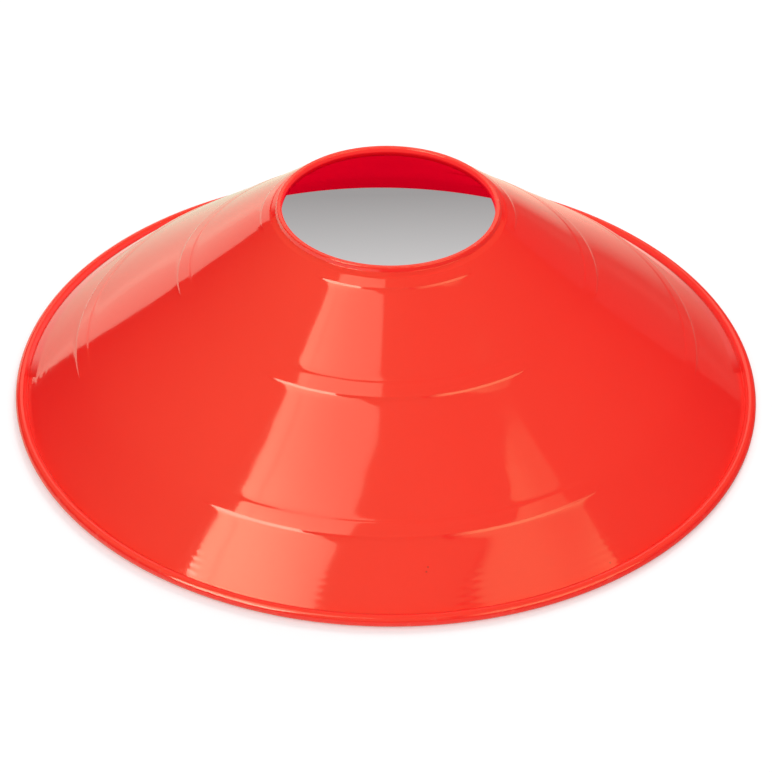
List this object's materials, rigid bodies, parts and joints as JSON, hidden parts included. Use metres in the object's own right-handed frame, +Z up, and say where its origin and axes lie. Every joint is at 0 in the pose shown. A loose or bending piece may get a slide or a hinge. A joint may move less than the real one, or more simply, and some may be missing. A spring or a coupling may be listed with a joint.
{
  "type": "sports marker cone",
  "caption": "Low saucer-shaped marker cone with a round mouth, a beaded rim and shallow moulded steps, for marking out a pitch or drill.",
  "frame": {"origin": "on the ground, in the middle of the cone", "axes": "+Z up the cone's axis through the mouth; -Y towards the middle of the front group of steps"},
  "size_m": [0.19, 0.19, 0.054],
  "materials": {
    "shell": "glossy orange-red moulded soft polyethylene"
  },
  "bodies": {
    "root": {"cone_shell": "shell"}
  },
  "joints": []
}
